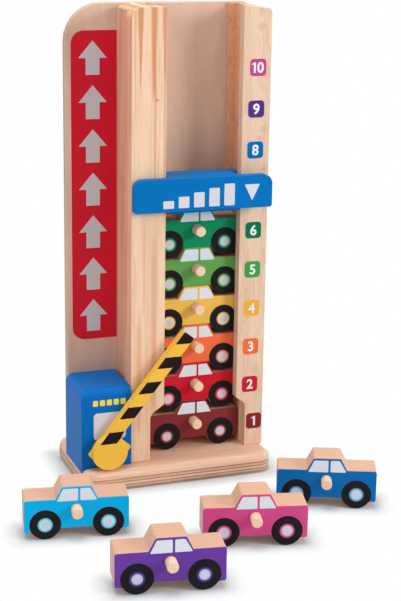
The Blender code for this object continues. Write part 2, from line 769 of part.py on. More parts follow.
def hole_profile(length):
    shank = SCREW_SHANK_RADIUS + SCREW_FIT
    head = SCREW_HEAD_RADIUS + SCREW_FIT
    return [
        (head, SCREW_RECESS + SCREW_FIT),
        (head, 0.0),
        (shank, -SCREW_HEAD_HEIGHT),
        (shank, -length - SCREW_FIT),
    ]


def make_screw(name, head, outward, length, targets, collection, cutters):
    """Countersunk screw whose head lies at the head point and whose outward side faces the direction."""
    placement = along(Vector(head) - Vector(outward) * SCREW_RECESS, outward)
    screw = turned(name, screw_profile(length), SCREW_SIDES, collection, material(name + "_steel", "steel", 0.35, 1.0))
    screw.matrix_world = placement
    hole = turned(name + "_hole", hole_profile(length), SCREW_SIDES, cutters)
    hole.matrix_world = placement
    for target in targets:
        cut(target, hole)


def make_screws(base, panel, left_column, right_column, booth, collection, cutters):
    left_rail = (LEFT_RAIL_OUTER + CHUTE_LEFT) / 2
    right_rail = (CHUTE_RIGHT + RIGHT_COLUMN_OUTER) / 2
    rail_middle = (LIP_BACK + RAIL_BACK) / 2
    lip_middle = LIP_BACK - LEFT_LIP_THICKNESS / 2
    booth_middle = (BASE_LEFT + LEFT_COLUMN_OUTER) / 2
    floor_screws = (
        ("base_screw_1", left_rail, lip_middle, left_column),
        ("base_screw_2", left_rail, rail_middle, left_column),
        ("base_screw_3", right_rail, rail_middle, right_column),
        ("base_screw_4", booth_middle, rail_middle, booth),
    )
    for name, x, y, target in floor_screws:
        make_screw(name, (x, y, 0.0), (0, 0, -1), BASE_SCREW_LENGTH, (base, target), collection, cutters)
    panel_back = PANEL_FRONT + PANEL_THICKNESS
    for side, x, target in (("left", left_rail, left_column), ("right", right_rail, right_column)):
        for index, share in enumerate(PANEL_SCREW_SHARES):
            make_screw(
                f"panel_screw_{side}_{index + 1}",
                (x, panel_back, BASE_TOP + share * (TOTAL_HEIGHT - BASE_TOP)),
                (0, 1, 0),
                PANEL_SCREW_LENGTH,
                (panel, target),
                collection,
                cutters,
            )


def main():
    for old in list(bpy.data.objects):
        bpy.data.objects.remove(old)
    collection = bpy.data.collections.new("toy_parking_garage")
    cutters = bpy.data.collections.new("cutters")
    bpy.context.scene.collection.children.link(collection)
    bpy.context.scene.collection.children.link(cutters)
    base = make_base(collection)
    panel = make_panel(collection)
    left_column = make_left_column(collection, cutters)
    right_column = make_right_column(collection, cutters)
    booth = make_booth(collection, cutters)
    make_gate(collection, cutters)
    make_slider(collection)
    make_cars(collection, cutters)
    make_screws(base, panel, left_column, right_column, booth, collection, cutters)


main()
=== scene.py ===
import math

import bmesh
import bpy
from mathutils import Matrix, Vector


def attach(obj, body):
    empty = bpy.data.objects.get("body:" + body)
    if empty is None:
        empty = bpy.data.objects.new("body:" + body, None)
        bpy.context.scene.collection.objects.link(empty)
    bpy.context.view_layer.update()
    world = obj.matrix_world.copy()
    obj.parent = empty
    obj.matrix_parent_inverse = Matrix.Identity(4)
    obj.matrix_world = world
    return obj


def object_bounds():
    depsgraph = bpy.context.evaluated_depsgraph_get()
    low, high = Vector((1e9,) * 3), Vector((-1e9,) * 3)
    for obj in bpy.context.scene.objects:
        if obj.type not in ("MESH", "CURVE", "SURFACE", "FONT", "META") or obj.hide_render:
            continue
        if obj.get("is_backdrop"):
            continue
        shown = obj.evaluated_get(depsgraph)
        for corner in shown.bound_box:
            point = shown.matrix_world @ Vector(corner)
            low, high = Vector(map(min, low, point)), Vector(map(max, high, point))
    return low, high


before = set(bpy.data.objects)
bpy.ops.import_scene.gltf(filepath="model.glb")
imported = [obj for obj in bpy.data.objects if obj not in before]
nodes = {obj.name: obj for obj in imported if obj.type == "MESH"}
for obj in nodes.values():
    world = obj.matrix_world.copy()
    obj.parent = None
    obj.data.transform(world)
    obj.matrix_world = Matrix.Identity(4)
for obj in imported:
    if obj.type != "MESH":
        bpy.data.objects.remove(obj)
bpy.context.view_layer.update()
print("frame loaded:", len(nodes), "nodes")

screenCurve = {"knee": 0.04045, "slope": 12.92, "offset": 0.055, "power": 2.4}
noiseRange = (0.3, 0.7)
speckRange = (0.35, 0.65)
plainGloss = 0.5


def rgb(red, green, blue):
    # a colour as picked from a screen, turned into the renderer's linear values
    values = []
    for part in (red / 255, green / 255, blue / 255):
        if part <= screenCurve["knee"]:
            values.append(part / screenCurve["slope"])
        else:
            values.append(((part + screenCurve["offset"]) / (1 + screenCurve["offset"])) ** screenCurve["power"])
    return (*values, 1.0)


class Board:
    # a small helper that adds and joins shader nodes
    def __init__(self, name):
        self.material = bpy.data.materials.new(name)
        self.material.use_nodes = True
        self.tree = self.material.node_tree
        self.shader = self.tree.nodes["Principled BSDF"]
        self.place = self.add("ShaderNodeTexCoord").outputs["Object"]

    def add(self, kind, **values):
        node = self.tree.nodes.new(kind)
        for key, value in values.items():
            setattr(node, key, value)
        return node

    def join(self, source, target):
        self.tree.links.new(source, target)

    def feed(self, socket, value):
        if isinstance(value, bpy.types.NodeSocket):
            self.join(value, socket)
        else:
            socket.default_value = value

    def maths(self, operation, first, second=0.0, third=0.0):
        node = self.add("ShaderNodeMath", operation=operation)
        for socket, value in zip(node.inputs, (first, second, third)):
            self.feed(socket, value)
        return node.outputs[0]

    def within(self, value, low, high):
        # 1 where the value lies between the two, else 0
        return self.maths("MULTIPLY", self.maths("GREATER_THAN", value, low), self.maths("LESS_THAN", value, high))

    def vector(self, operation, first, second=(0.0, 0.0, 0.0)):
        node = self.add("ShaderNodeVectorMath", operation=operation)
        self.join(first, node.inputs[0])
        node.inputs[1].default_value = second
        return node.outputs["Value" if operation in ("LENGTH", "DISTANCE", "DOT_PRODUCT") else "Vector"]

    def parts(self):
        # X, Y and Z of the place that the textures read
        node = self.add("ShaderNodeSeparateXYZ")
        self.join(self.place, node.inputs[0])
        return node.outputs

    def point(self, x, y, z):
        node = self.add("ShaderNodeCombineXYZ")
        for socket, value in zip(node.inputs, (x, y, z)):
            self.feed(socket, value)
        return node.outputs[0]

    def moved(self, scale=(1, 1, 1), turn=(0, 0, 0), shift=(0, 0, 0), source=None):
        node = self.add("ShaderNodeMapping")
        self.join(source or self.place, node.inputs["Vector"])
        for label, value in (("Scale", scale), ("Rotation", turn), ("Location", shift)):
            node.inputs[label].default_value = value
        return node.outputs["Vector"]

    def noise(self, vector, scale, detail, roughness):
        node = self.add("ShaderNodeTexNoise")
        self.join(vector, node.inputs["Vector"])
        for label, value in (("Scale", scale), ("Detail", detail), ("Roughness", roughness)):
            node.inputs[label].default_value = value
        return node.outputs["Fac"]

    def ramp(self, factor, greys, smooth="LINEAR"):
        node = self.add("ShaderNodeValToRGB")
        self.join(factor, node.inputs["Fac"])
        ramp = node.color_ramp
        ramp.interpolation = smooth
        while len(ramp.elements) < len(greys):
            ramp.elements.new(0.5)
        for element, (position, grey) in zip(ramp.elements, greys):
            element.position = position
            element.color = (grey, grey, grey, 1.0)
        return node.outputs["Color"]

    def mix(self, factor, first, second):
        node = self.add("ShaderNodeMix", data_type="RGBA")
        for socket, value in zip((node.inputs[0], node.inputs[6], node.inputs[7]), (factor, first, second)):
            self.feed(socket, value)
        return node.outputs[2]

    def span(self, value, low, high, newLow=0.0, newHigh=1.0):
        node = self.add("ShaderNodeMapRange")
        self.feed(node.inputs["Value"], value)
        for label, edge in (("From Min", low), ("From Max", high), ("To Min", newLow), ("To Max", newHigh)):
            node.inputs[label].default_value = edge
        return node.outputs[0]

    def spread(self, noise, low=0.0, high=1.0):
        # a noise's usual range, spread over two new values
        return self.span(noise, *noiseRange, low, high)

    def bump(self, height, strength, distance):
        node = self.add("ShaderNodeBump")
        self.join(height, node.inputs["Height"])
        node.inputs["Strength"].default_value = strength
        node.inputs["Distance"].default_value = distance
        self.join(node.outputs["Normal"], self.shader.inputs["Normal"])

    def finish(self, colour, roughness, gloss=plainGloss):
        for label, value in (("Base Color", colour), ("Roughness", roughness), ("Specular IOR Level", gloss)):
            self.feed(self.shader.inputs[label], value)
        return self.material


beech = {
    "light": (238, 203, 176), "dark": (212, 162, 130), "warm": (224, 180, 150), "pore": (178, 126, 96),
    "axis": 2, "lean": (0.05, 0.08, 0.0), "heart": (0.03, 0.02, 0.0), "stretch": 0.05,
    "rings": 55.0, "distortion": 1.5, "ringDetail": 2.0, "ringDepth": 0.5,
    "late": ((0.30, 0.0), (0.78, 1.0), (0.93, 0.35)),
    "wander": 3.0, "wanderScale": 22.0, "wanderStretch": 0.12,
    "fibres": 900.0, "fibreStretch": 0.035, "fibreRange": (0.42, 0.72), "fibreDepth": 0.45,
    "poreShare": 1.9, "poreStretch": 0.07, "poreRange": (0.62, 0.72), "poreDepth": 0.5,
    "toneScale": 18.0, "toneStretch": 0.3, "toneDepth": 0.45,
    "roughness": (0.36, 0.5), "bump": 0.12, "bumpDepth": 0.0002, "gloss": 0.15,
    "streaks": (), "knots": (), "shadedSide": None, "layers": None,
}
# a streak wavers a little, has soft sides and runs out at both ends
figure = {
    "waverScale": 260.0, "waverStretch": 0.08, "waver": 0.0008, "side": (0.45, 1.1), "footRun": 0.012, "topRun": 0.030,
    "knotSide": (0.3, 1.0),
}
ply = {"glueSide": 2.2, "gapScale": 45.0, "gapRange": (0.25, 0.6), "gapDepth": (0.45, 1.0), "speckScale": 1500.0}


def grainScale(axis, along):
    return tuple(along if index == axis else 1.0 for index in range(3))


def woodColour(board, wood):
    # growth rings round a leaning axis, fine fibres along the grain and a slow change of tone
    def drawnOut(part):
        return board.moved(grainScale(wood["axis"], wood[part + "Stretch"]))

    wander = board.noise(drawnOut("wander"), wood["wanderScale"], detail=2.0, roughness=0.5)
    stretched = board.moved(grainScale(wood["axis"], wood["stretch"]), wood["lean"], wood["heart"])
    ring = board.add("ShaderNodeTexWave", wave_type="RINGS", rings_direction="XYZ"[wood["axis"]], wave_profile="SIN")
    board.join(stretched, ring.inputs["Vector"])
    for label, value in (
        ("Scale", wood["rings"]), ("Distortion", wood["distortion"]), ("Detail", wood["ringDetail"]),
        ("Detail Scale", wood["wanderScale"] / 2), ("Phase Offset", board.spread(wander, 0.0, wood["wander"])),
    ):
        board.feed(ring.inputs[label], value)
    fibres = board.noise(drawnOut("fibre"), wood["fibres"], detail=6.0, roughness=0.65)
    pores = board.noise(drawnOut("pore"), wood["fibres"] * wood["poreShare"], detail=3.0, roughness=0.6)
    tone = board.noise(drawnOut("tone"), wood["toneScale"], detail=2.0, roughness=0.5)
    late = board.ramp(ring.outputs["Fac"], wood["late"])
    colour = board.mix(board.maths("MULTIPLY", late, wood["ringDepth"]), rgb(*wood["light"]), rgb(*wood["dark"]))
    for share, tint in (
        (board.span(fibres, *wood["fibreRange"], 0.0, wood["fibreDepth"]), wood["dark"]),
        (board.span(pores, *wood["poreRange"], 0.0, wood["poreDepth"]), wood["pore"]),
        (board.spread(tone, 0.0, wood["toneDepth"]), wood["warm"]),
    ):
        colour = board.mix(share, colour, rgb(*tint))
    return colour, fibres


def figured(board, colour, wood):
    # dark streaks, each with its middle, half widths at top and foot, foot, top and depth, and round knots
    x, y, z = board.parts()
    wavy = board.noise(board.moved((1, 1, figure["waverStretch"])), figure["waverScale"], detail=2.0, roughness=0.5)
    x = board.maths("ADD", x, board.maths("MULTIPLY_ADD", wavy, 2 * figure["waver"], -figure["waver"]))
    for centre, topHalf, footHalf, foot, top, depth in wood["streaks"]:
        half = board.span(z, foot, top, footHalf, topHalf)
        off = board.maths("DIVIDE", board.maths("ABSOLUTE", board.maths("SUBTRACT", x, centre)), half)
        body = board.span(off, *figure["side"], depth, 0.0)
        above = board.span(z, foot - figure["footRun"], foot)
        below = board.span(z, top, top + figure["topRun"], 1.0, 0.0)
        share = board.maths("MULTIPLY", body, board.maths("MULTIPLY", above, below))
        colour = board.mix(share, colour, rgb(*wood["dark"]))
    for place, size, depth in wood["knots"]:
        shift = tuple(-part / scale for part, scale in zip(place, size))
        away = board.vector("LENGTH", board.moved(tuple(1 / scale for scale in size), shift=shift))
        colour = board.mix(board.span(away, *figure["knotSide"], depth, 0.0), colour, rgb(*wood["pore"]))
    return colour


def paintShadedSides(board, colour, shadedSide):
    # darker, more orange wood shows on the faces inside this range of X and Y: partly the wood's own speckled grain,
    # partly painted shade on side faces that lie in shadow
    values = board.parts()
    inside = board.maths("MULTIPLY", *(board.within(values[axis], low, high) for axis, low, high in shadedSide["range"]))
    speck = board.noise(board.moved(shadedSide["grain"]), shadedSide["scale"], detail=4.0, roughness=0.65)
    tone = board.mix(board.span(speck, *speckRange), rgb(*shadedSide["light"]), rgb(*shadedSide["dark"]))
    return board.mix(board.maths("MULTIPLY", inside, shadedSide["depth"]), colour, tone)


def layered(board, colour, layer):
    # plywood: thin crossed layers with dark glue lines, broken here and there, show at the edges
    depth = board.span(board.parts()[layer["axis"]], layer["low"], layer["high"])
    glue = None
    for position in layer["lines"]:
        near = board.maths("ABSOLUTE", board.maths("SUBTRACT", depth, position))
        line = board.span(near, layer["width"], layer["width"] * ply["glueSide"], 1.0, 0.0)
        glue = line if glue is None else board.maths("MAXIMUM", glue, line)
    gaps = board.noise(board.place, ply["gapScale"], detail=3.0, roughness=0.6)
    glue = board.maths("MULTIPLY", glue, board.span(gaps, *ply["gapRange"], *ply["gapDepth"]))
    crossed = [(0.0, 0)] + [(position, (index + 1) % 2) for index, position in enumerate(layer["lines"])]
    crossed = board.ramp(depth, crossed, "CONSTANT")
    speck = board.noise(board.place, ply["speckScale"], detail=3.0, roughness=0.7)
    ends = board.mix(board.span(speck, *speckRange), rgb(*layer["endLight"]), rgb(*layer["endDark"]))
    colour = board.mix(board.maths("MULTIPLY", crossed, layer["endDepth"]), colour, ends)
    return board.mix(board.maths("MULTIPLY", glue, layer["glueDepth"]), colour, rgb(*layer["glue"]))


def woodMaterial(name, changes):
    wood = {**beech, **changes}
    board = Board(name)
    colour, fibres = woodColour(board, wood)
    if wood["streaks"] or wood["knots"]:
        colour = figured(board, colour, wood)
    if wood["shadedSide"]:
        colour = paintShadedSides(board, colour, wood["shadedSide"])
    if wood["layers"]:
        colour = layered(board, colour, wood["layers"])
    board.bump(fibres, wood["bump"], wood["bumpDepth"])
    return board.finish(colour, board.spread(fibres, *wood["roughness"]), wood["gloss"])


coat = {
    "cloudScale": 30.0, "cloudDepth": 0.55, "grainScale": 1400.0, "bump": 0.06, "bumpDepth": 0.0001,
    "roughness": (0.36, 0.46), "gloss": 0.05, "deeper": 0.86,
}


def darker(colour, share):
    return tuple(part * share for part in colour)


def paintParts(board, colour, deeper):
    # soft clouds of a deeper tone, and the fine grain of the brush coat
    cloud = board.noise(board.place, coat["cloudScale"], detail=3.0, roughness=0.5)
    grain = board.noise(board.place, coat["grainScale"], detail=4.0, roughness=0.6)
    board.bump(grain, coat["bump"], coat["bumpDepth"])
    return board.mix(board.spread(cloud, 0.0, coat["cloudDepth"]), rgb(*colour), rgb(*deeper)), grain


def paintFinish(board, tint, grain, gloss=coat["gloss"]):
    return board.finish(tint, board.spread(grain, *coat["roughness"]), gloss)


def paint(name, colour, deeper=None, gloss=coat["gloss"]):
    board = Board(name)
    return paintFinish(board, *paintParts(board, colour, deeper or darker(colour, coat["deeper"])), gloss)


def dress(name, material):
    node = nodes[name]
    node.data.materials.clear()
    node.data.materials.append(material)


print("shader helpers ready")


filmLook = {"thick": 0.0003, "proud": 0.00012, "discSteps": 64, "cornerSteps": 6, "tiny": 1e-7}


def addPiece(name, mesh, body, material):
    mesh.materials.append(material)
    piece = bpy.data.objects.new(name, mesh)
    bpy.context.scene.collection.objects.link(piece)
    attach(piece, body)


def film(name, shapes, place, body, material, thick=filmLook["thick"], proud=filmLook["proud"]):
    # each shape is drawn in X and Z, seen from -Y, and stands a little proud of Y 0
    work = bmesh.new()
    for shape in shapes:
        if "radius" in shape:
            rim = bmesh.ops.create_circle(
                work, cap_ends=True, segments=filmLook["discSteps"], radius=shape["radius"]
            )["verts"]
            bmesh.ops.translate(work, verts=rim, vec=(*shape["centre"], 0.0))
            continue
        rim = [work.verts.new((x, z, 0.0)) for x, z in shape["corners"]]
        work.faces.new(rim)
        turned = [rim[index] for index in shape.get("turned", range(len(rim)))]
        if shape.get("round"):
            bmesh.ops.bevel(
                work, geom=turned, offset=shape["round"], offset_type="OFFSET", affect="VERTICES",
                segments=filmLook["cornerSteps"], profile=0.5, material=-1, clamp_overlap=True,
            )
    bmesh.ops.dissolve_degenerate(work, edges=work.edges, dist=filmLook["tiny"])
    pushed = bmesh.ops.extrude_face_region(work, geom=work.faces[:])["geom"]
    lifted = [item for item in pushed if isinstance(item, bmesh.types.BMVert)]
    bmesh.ops.translate(work, verts=lifted, vec=(0.0, 0.0, thick))
    bmesh.ops.recalc_face_normals(work, faces=work.faces)
    stand = Matrix(((1, 0, 0, 0), (0, 0, -1, thick - proud), (0, 1, 0, 0), (0, 0, 0, 1)))
    bmesh.ops.transform(work, matrix=place @ stand, verts=work.verts)
    mesh = bpy.data.meshes.new(name)
    work.to_mesh(mesh)
    work.free()
    addPiece(name, mesh, body, material)


def boxCorners(left, low, right, high):
    return [(left, low), (right, low), (right, high), (left, high)]


def at(x=0.0, y=0.0, z=0.0):
    return Matrix.Translation((x, y, z))


leftColumn = {
    "light": (245, 214, 184), "dark": (210, 144, 102), "warm": (232, 190, 152),
    "lean": (0.02, 0.03, 0.0), "heart": (0.062, 0.085, 0.0), "stretch": 0.08,
    "rings": 30.0, "ringDepth": 0.3, "distortion": 2.0, "wander": 3.0, "wanderScale": 14.0,
    "fibreDepth": 0.35, "poreDepth": 0.35, "toneDepth": 0.6, "toneScale": 30.0,
    "streaks": (
        (-0.0326, 0.0034, 0.0005, 0.336, 0.400, 0.95), (-0.0215, 0.0036, 0.0016, 0.331, 0.400, 0.95),
        (-0.0202, 0.0016, 0.0009, 0.236, 0.331, 0.6), (-0.0126, 0.0028, 0.0011, 0.345, 0.400, 0.9),
        (-0.0124, 0.0012, 0.0010, 0.232, 0.345, 0.6), (-0.0368, 0.0010, 0.0004, 0.318, 0.400, 0.5),
        (-0.0292, 0.0022, 0.0012, 0.150, 0.212, 0.35), (-0.0205, 0.0034, 0.0026, 0.070, 0.190, 0.45),
        (-0.0330, 0.0028, 0.0020, 0.050, 0.130, 0.45),
    ),
    "knots": (((-0.0188, -0.0332, 0.3212), (0.0018, 0.0040, 0.0012), 0.95),),
    # the outer left side faces take darker, pinker wood: partly their own grain, partly painted shade
    "shadedSide": {
        "range": ((0, -0.0500, -0.0371), (1, -0.0329, 0.0200)), "grain": (1, 1, 0.03), "scale": 190.0, "depth": 0.75,
        "light": (250, 186, 154), "dark": (202, 132, 102),
    },
}
rightColumn = {
    "light": (235, 205, 180), "dark": (214, 168, 130), "warm": (222, 190, 166),
    "heart": (-0.10, 0.05, 0.0), "stretch": 0.2, "rings": 20.0, "ringDepth": 0.6, "distortion": 5.0,
    "wander": 6.0, "wanderScale": 13.0, "toneScale": 40.0, "toneDepth": 0.6,
    "knots": (
        ((0.0762, -0.0243, 0.2935), (0.0045, 0.0100, 0.0040), 0.30),
        ((0.0735, -0.0243, 0.2860), (0.0060, 0.0100, 0.0030), 0.22),
        ((0.0772, -0.0243, 0.2600), (0.0036, 0.0100, 0.0034), 0.30),
        ((0.0722, -0.0243, 0.3770), (0.0060, 0.0100, 0.0045), 0.28),
        ((0.0660, -0.0243, 0.1780), (0.0060, 0.0100, 0.0090), 0.16),
        ((0.0740, -0.0243, 0.0860), (0.0050, 0.0100, 0.0070), 0.18),
    ),
    # the rail's inner side behind the lip takes darker, more orange wood: painted shade of the lip's shadow, with its
    # own speckled grain
    "shadedSide": {
        "range": ((0, 0.0500, 0.0795), (1, -0.0150, 0.0200)), "grain": (1, 1, 0.3), "scale": 600.0, "depth": 0.65,
        "light": (244, 178, 126), "dark": (210, 138, 94),
    },
}
baseBoard = {
    "light": (240, 204, 177), "dark": (206, 156, 128), "warm": (224, 182, 155),
    "axis": 0, "lean": (0.0, 0.02, 0.03), "heart": (0.0, 0.3, 0.06),
    "rings": 16.0, "ringDepth": 0.4, "fibreDepth": 0.75, "poreDepth": 0.8,
    "layers": {
        "axis": 2, "low": 0.0, "high": 0.017, "lines": (0.11, 0.27, 0.43, 0.59), "width": 0.019,
        "endLight": (222, 180, 154), "endDark": (192, 144, 118), "endDepth": 0.75,
        "glue": (146, 98, 76), "glueDepth": 0.85,
    },
}
backPanel = {
    "light": (229, 196, 173), "dark": (197, 159, 136), "warm": (206, 168, 144),
    "heart": (0.3, 0.02, 0.0), "rings": 9.0, "ringDepth": 0.14,
    "fibreDepth": 0.22, "poreDepth": 0.5, "toneScale": 34.0, "toneDepth": 0.9,
    "layers": {
        "axis": 1, "low": 0.0150, "high": 0.0218, "lines": (0.2, 0.4, 0.6, 0.8), "width": 0.02,
        "endLight": (208, 168, 144), "endDark": (184, 142, 118), "endDepth": 0.7,
        "glue": (150, 108, 84), "glueDepth": 0.6,
    },
}
peg = {"light": (250, 220, 188), "dark": (234, 194, 158), "axis": 1, "heart": (0.0, 0.0, 0.0), "rings": 120.0}
pegWood = woodMaterial("pegBeech", peg)
dress("left_column", woodMaterial("streakedBeech", leftColumn))
dress("right_column", woodMaterial("quietBeech", rightColumn))
dress("base_board", woodMaterial("basePlywood", baseBoard))
dress("back_panel", woodMaterial("panelPlywood", backPanel))
dress("gate_pivot_pin", pegWood)

screw = {
    "dark": (150, 150, 155), "light": (205, 205, 210), "scratchScale": 2500.0, "bump": 0.1, "bumpDepth": 0.0001,
    "roughness": (0.25, 0.45),
}
steel = Board("screwSteel")
scratches = steel.noise(steel.place, screw["scratchScale"], detail=4.0, roughness=0.6)
steel.shader.inputs["Metallic"].default_value = 1.0
steel.bump(scratches, screw["bump"], screw["bumpDepth"])
screwSteel = steel.finish(
    steel.mix(scratches, rgb(*screw["dark"]), rgb(*screw["light"])), steel.spread(scratches, *screw["roughness"])
)
for name in nodes:
    if "_screw_" in name:
        dress(name, screwSteel)
print("garage wood dressed")


booth = {
    "front": -0.0354, "window": (-0.0725, 0.0414, -0.0450, 0.0648), "windowRound": 0.003,
    "marks": 5, "markLeft": -0.0731, "markPitch": 0.0059, "markWidth": 0.0044, "markLow": 0.0710, "markHigh": 0.0760,
    "markRound": 0.0009, "gloss": 0.08,
}
dress("ticket_booth", paint("boothBlue", (0, 106, 186), (0, 99, 177), booth["gloss"]))
printWhite = paint("printWhite", (214, 214, 222), (204, 202, 212))
printYellow = paint("printYellow", (236, 226, 92), (226, 210, 80))
window = {"corners": boxCorners(*booth["window"]), "round": booth["windowRound"]}
film("booth_window", [window], at(y=booth["front"]), "garage", printWhite)
marks = []
for index in range(booth["marks"]):
    left = booth["markLeft"] + index * booth["markPitch"]
    corners = boxCorners(left, booth["markLow"], left + booth["markWidth"], booth["markHigh"])
    marks.append({"corners": corners, "round": booth["markRound"]})
film("booth_ticket_marks", marks, at(y=booth["front"]), "garage", printYellow)

slider = {
    "front": -0.0412, "arrow": ((0.0540, 0.2512), (0.0608, 0.2378), (0.0674, 0.2512)), "arrowRound": 0.0004,
    "bars": 5, "barLeft": -0.0157, "barRight": 0.0455, "barGap": 0.0040, "barLow": 0.2346, "barHigh": 0.2527,
    "barFirst": 0.35, "barRound": 0.0008,
}
sliderPaint = paint("sliderBlue", (0, 112, 184), (0, 104, 174))
for name in ("level_plate", "level_neck", "level_shoe"):
    dress(name, sliderPaint)
arrow = {"corners": slider["arrow"], "round": slider["arrowRound"]}
film("slider_arrow", [arrow], at(y=slider["front"]), "level_slider", printWhite)
barWidth = (slider["barRight"] - slider["barLeft"] - (slider["bars"] - 1) * slider["barGap"]) / slider["bars"]
bars = []
for index in range(slider["bars"]):
    left = slider["barLeft"] + index * (barWidth + slider["barGap"])
    share = slider["barFirst"] + (1 - slider["barFirst"]) * index / (slider["bars"] - 1)
    high = slider["barLow"] + (slider["barHigh"] - slider["barLow"]) * share
    bars.append({"corners": boxCorners(left, slider["barLow"], left + barWidth, high), "round": slider["barRound"]})
film("slider_level_bars", bars, at(y=slider["front"]), "level_slider", printWhite)

gate = {
    "pivot": (-0.0614, 0.0330), "front": -0.0464, "angle": math.radians(51.4), "low": 0.0013, "high": 0.0114,
    "reach": 0.117, "inset": 0.0005, "arris": 0.0012, "round": 0.0003,
    "stripes": ((0.0082, 0.0180), (0.0287, 0.0381), (0.0487, 0.0582), (0.0690, 0.0781), (0.0886, 0.1300)),
    "yellow": ((244, 194, 76), (236, 182, 64)), "black": (34, 26, 25),
}
gateBlack = paint("gateBlack", (36, 27, 26), (28, 21, 20))
dress("gate_backing", paint("gateYellow", *gate["yellow"]))
# the face's own paint carries the bands over its front arris
board = Board("gateStriped")
tint, grain = paintParts(board, *gate["yellow"])
x, y, z = board.parts()
run = board.maths("SUBTRACT", x, gate["pivot"][0])
rise = board.maths("SUBTRACT", z, gate["pivot"][1])
sideways = board.maths(
    "SUBTRACT", board.maths("MULTIPLY", rise, math.cos(gate["angle"])),
    board.maths("MULTIPLY", run, math.sin(gate["angle"])),
)
onArm = board.maths(
    "MULTIPLY", board.within(sideways, gate["low"] - gate["inset"], gate["high"] + gate["inset"]),
    board.maths("LESS_THAN", y, gate["front"] + gate["arris"]),
)
for low, high in gate["stripes"]:
    tint = board.mix(board.maths("MULTIPLY", board.within(rise, low, high), onArm), tint, rgb(*gate["black"]))
dress("gate_face", paintFinish(board, tint, grain))


def armPoint(height, across):
    # the point of the arm at a height above the pivot, on a line along the arm
    along = (height - across * math.cos(gate["angle"])) / math.sin(gate["angle"])
    along = min(along, gate["reach"] - gate["inset"])
    x = along * math.cos(gate["angle"]) - across * math.sin(gate["angle"])
    z = along * math.sin(gate["angle"]) + across * math.cos(gate["angle"])
    return (x, z)


stripes = []
near, far = gate["low"] + gate["inset"], gate["high"] - gate["inset"]
for low, high in gate["stripes"]:
    corners = [armPoint(low, near), armPoint(high, near), armPoint(high, far), armPoint(low, far)]
    stripes.append({"corners": corners, "round": gate["round"]})
film("gate_stripes", stripes, at(gate["pivot"][0], gate["front"], gate["pivot"][1]), "gate", gateBlack)
print("booth, slider and barrier painted")


sign = {
    "front": 0.0150, "box": (-0.0763, 0.1137, -0.0379, 0.3721), "round": 0.0105, "onTop": 0.00012,
    "arrows": 7, "left": -0.0701, "right": -0.0463, "top": 0.3640, "height": 0.0276, "pitch": 0.03594,
    "stem": 0.0116, "head": 0.0140,
}
signRed = paint("signRed", (212, 32, 52), (204, 28, 48))
signWhite = paint("signWhite", (204, 198, 202), (194, 188, 192))
ground = {"corners": boxCorners(*sign["box"]), "round": sign["round"], "turned": (0, 3)}
film("sign_panel", [ground], at(y=sign["front"]), "garage", signRed)
arrows = []
middle = (sign["left"] + sign["right"]) / 2
half = sign["stem"] / 2
for index in range(sign["arrows"]):
    top = sign["top"] - index * sign["pitch"]
    foot = top - sign["height"]
    neck = top - sign["head"]
    arrows.append({"corners": [
        (middle - half, foot), (middle + half, foot), (middle + half, neck), (sign["right"], neck),
        (middle, top), (sign["left"], neck), (middle - half, neck),
    ]})
film("sign_arrows", arrows, at(y=sign["front"] - sign["onTop"]), "garage", signWhite)
print("sign made")


labels = {
    "front": -0.0243, "x": 0.0693, "ends": {0: 0.0738, 9: 0.0702}, "first": 0.0390, "pitch": 0.03388,
    "width": 0.0141, "height": 0.0140, "round": 0.003,
    "digitHeight": 0.0086, "capShare": 0.73, "bold": 0.0003, "relief": 0.00015, "digitLift": 0.00022, "tiny": 1e-6,
    "oneShift": -0.0035, "zeroShift": 0.0019, "oneRound": 0.0002, "oneLift": 0.00012,
    "one": ((-0.0022, 0.0020), (-0.0022, 0.0030), (0.0004, 0.0043), (0.0013, 0.0043), (0.0013, -0.0043),
            (-0.0004, -0.0043), (-0.0004, 0.0026)),
    "colours": ((140, 42, 50), (204, 28, 52), (244, 112, 56), (248, 182, 64), (66, 158, 70), (0, 122, 76),
                (0, 166, 226), (0, 107, 174), (84, 50, 132), (198, 66, 132)),
}
digitWhite = paint("digitWhite", (238, 236, 240), (228, 226, 232))


def digitPiece(name, text, place):
    curve = bpy.data.curves.new(name, "FONT")
    curve.body = text
    curve.size = labels["digitHeight"] / labels["capShare"]
    curve.align_x = "CENTER"
    curve.align_y = "CENTER"
    curve.offset = labels["bold"]
    curve.extrude = labels["relief"]
    holder = bpy.data.objects.new(name + "_text", curve)
    bpy.context.scene.collection.objects.link(holder)
    bpy.context.view_layer.update()
    mesh = bpy.data.meshes.new_from_object(holder.evaluated_get(bpy.context.evaluated_depsgraph_get()))
    bpy.data.objects.remove(holder)
    bpy.data.curves.remove(curve)
    work = bmesh.new()
    work.from_mesh(mesh)
    bmesh.ops.remove_doubles(work, verts=work.verts, dist=labels["tiny"])
    centre = []
    for axis in (0, 1):
        values = [vert.co[axis] for vert in work.verts]
        centre.append((min(values) + max(values)) / 2)
    bmesh.ops.translate(work, verts=work.verts, vec=(-centre[0], -centre[1], 0.0))
    bmesh.ops.transform(work, matrix=place @ Matrix.Rotation(math.pi / 2, 4, "X"), verts=work.verts)
    bmesh.ops.recalc_face_normals(work, faces=work.faces)
    work.to_mesh(mesh)
    work.free()
    mesh.name = name
    mesh.materials.clear()
    addPiece(name, mesh, "garage", digitWhite)


